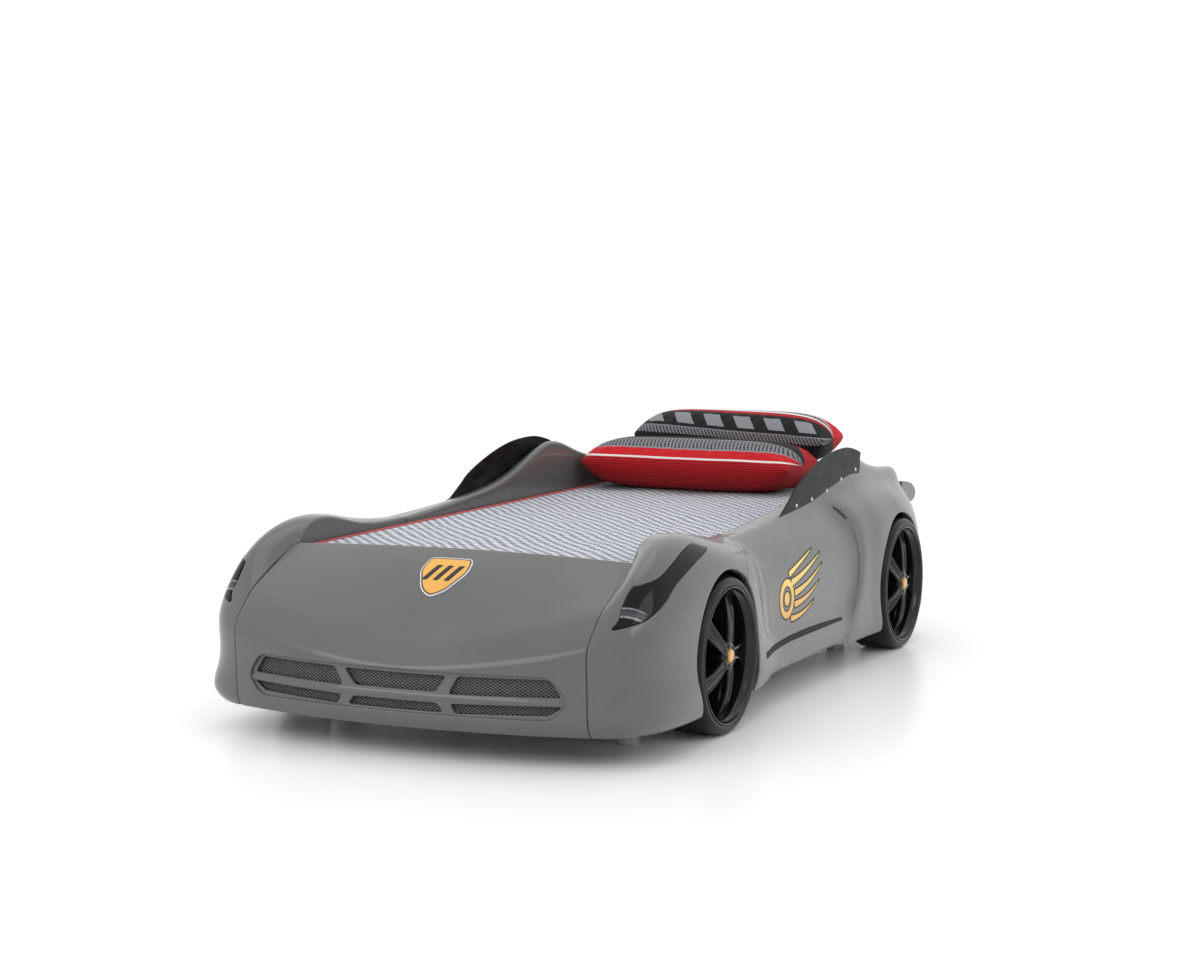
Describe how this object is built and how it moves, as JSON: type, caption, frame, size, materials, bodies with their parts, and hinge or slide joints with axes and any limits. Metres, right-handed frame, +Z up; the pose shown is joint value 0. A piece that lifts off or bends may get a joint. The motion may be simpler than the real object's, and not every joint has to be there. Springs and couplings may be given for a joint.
{
  "type": "racing car bed",
  "caption": "Child's single bed shaped like a low sports car, with moulded shells, dummy wheels, smoked side windows, a tail spoiler, a mattress and pillows.",
  "frame": {"origin": "on the floor, under the middle of the bed's length and width", "axes": "+X to the car's left (the viewer's right in the picture), +Y from the bumper towards the tail, +Z up; the front of the car faces -Y"},
  "size_m": [1.2392, 2.4456, 0.666],
  "materials": {
    "body_paint": "gloss grey moulded plastic, painted",
    "smoked_acrylic": "smoked gloss",
    "black_mesh": "matt black net",
    "badge_plate": "plain gloss plate",
    "trim_black": "gloss black",
    "tyre": "satin black moulding",
    "gloss_black": "gloss black",
    "amber_cap": "gloss amber",
    "screw_steel": "bright steel",
    "zinc_steel": "zinc plated",
    "slat_wood": "bare birch",
    "board": "light laminated board",
    "foot_plastic": "light grey plastic",
    "mattress_cover": "white and grey diagonal check with red piping",
    "pillow_cover": "printed cover in dark red, black and white"
  },
  "bodies": {
    "bed": {"bonnet_badge": "badge_plate", "centre_beam": "board", "centre_cap_front_left": "amber_cap", "centre_cap_front_right": "amber_cap", "centre_cap_rear_left": "amber_cap", "centre_cap_rear_right": "amber_cap", "corner_brackets": "zinc_steel", "feet": "foot_plastic", "foot_board": "board", "front_panel": "body_paint", "grille_mesh": "black_mesh", "head_board": "board", "headlight_left": "smoked_acrylic", "headlight_right": "smoked_acrylic", "panel_screws": "screw_steel", "rear_panel": "body_paint", "rim_front_left": "gloss_black", "rim_front_right": "gloss_black", "rim_rear_left": "gloss_black", "rim_rear_right": "gloss_black", "shoulder_vent_left": "trim_black", "shoulder_vent_right": "trim_black", "side_panel_left": "body_paint", "side_panel_right": "body_paint", "side_rail_left": "board", "side_rail_right": "board", "side_window_left": "smoked_acrylic", "side_window_right": "smoked_acrylic", "sill_strip_left": "trim_black", "sill_strip_right": "trim_black", "slat_01": "slat_wood", "slat_02": "slat_wood", "slat_03": "slat_wood", "slat_04": "slat_wood", "slat_05": "slat_wood", "slat_06": "slat_wood", "slat_07": "slat_wood", "slat_08": "slat_wood", "slat_09": "slat_wood", "slat_10": "slat_wood", "slat_11": "slat_wood", "tail_wing": "body_paint", "tyre_front_left": "tyre", "tyre_front_right": "tyre", "tyre_rear_left": "tyre", "tyre_rear_right": "tyre", "wheel_bolts": "screw_steel", "wheel_bracket_front_left": "zinc_steel", "wheel_bracket_front_right": "zinc_steel", "wheel_bracket_rear_left": "zinc_steel", "wheel_bracket_rear_right": "zinc_steel", "window_screws": "screw_steel", "wing_left": "body_paint", "wing_right": "body_paint"},
    "mattress": {"mattress": "mattress_cover"},
    "pillow_front": {"pillow_front": "pillow_cover"},
    "pillow_rear": {"pillow_rear": "pillow_cover"}
  },
  "joints": [
    {"name": "mattress_lift", "type": "slide", "parent": "bed", "child": "mattress", "axis": [0, 0, 1], "range_m": [0, 0.25]},
    {"name": "front_pillow_slide", "type": "slide", "parent": "mattress", "child": "pillow_front", "axis": [0, -0.9397, 0.342], "range_m": [0, 0.2]},
    {"name": "rear_pillow_lift", "type": "slide", "parent": "mattress", "child": "pillow_rear", "axis": [0, 0, 1], "range_m": [0, 0.25]}
  ]
}
